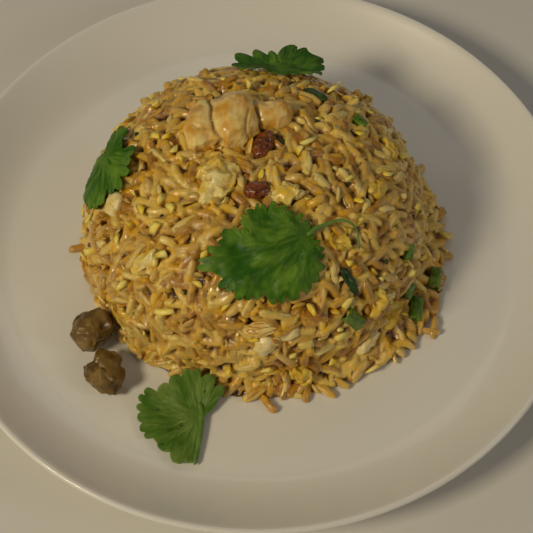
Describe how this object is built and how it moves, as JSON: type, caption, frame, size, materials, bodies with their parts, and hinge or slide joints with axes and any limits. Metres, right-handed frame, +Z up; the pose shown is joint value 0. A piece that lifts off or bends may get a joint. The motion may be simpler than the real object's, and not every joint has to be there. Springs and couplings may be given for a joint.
{
  "type": "plate of fried rice",
  "caption": "Domed mound of chicken and egg fried rice with coriander leaves, on a round coupe plate that stands on a foot ring.",
  "frame": {"origin": "centre of the plate, on the plane that its foot ring stands on", "axes": "+Z up out of the plate, -Y towards the viewer's side of the plate, +X to the right"},
  "size_m": [0.216, 0.216, 0.0645],
  "materials": {
    "glaze": "clear gloss glaze over white stoneware",
    "rice": "cooked rice browned with soy sauce, with an oily sheen",
    "chicken": "stir-fried chicken, golden, moist",
    "egg": "soft scrambled egg, yellow, moist",
    "egg_white": "scrambled egg, mostly white, moist",
    "browned": "deeply browned bits, glossy",
    "spring_onion": "cut spring onion, wilted by the heat",
    "leaf": "fresh coriander leaf, waxy, with fine veins"
  },
  "bodies": {
    "root": {"plate": "glaze", "rice_heap": "rice", "chicken_front_lobe": "chicken", "chicken_large": "chicken", "chicken_back_lobe": "chicken", "chicken_shred": "chicken", "chicken_loose_upper": "chicken", "chicken_loose_lower": "chicken", "egg_curd_top": "egg", "egg_curd_middle": "egg", "egg_under_stem": "egg", "egg_right": "egg", "egg_left": "egg", "egg_lower_right": "egg", "egg_foot_right": "egg", "egg_foot_front": "egg", "egg_rim_right": "egg", "egg_white_foot": "egg_white", "egg_white_front": "egg_white", "egg_white_fold": "egg_white", "egg_white_left": "egg_white", "browned_top": "browned", "browned_middle": "browned", "green_shred_front": "leaf", "green_shred_back": "leaf", "onion_top": "spring_onion", "onion_front": "spring_onion", "onion_side": "spring_onion", "onion_spill_inner": "spring_onion", "onion_spill_front": "spring_onion", "onion_spill_outer": "spring_onion", "coriander_centre": "leaf", "coriander_left": "leaf", "coriander_back": "leaf", "coriander_front": "leaf"}
  },
  "joints": []
}
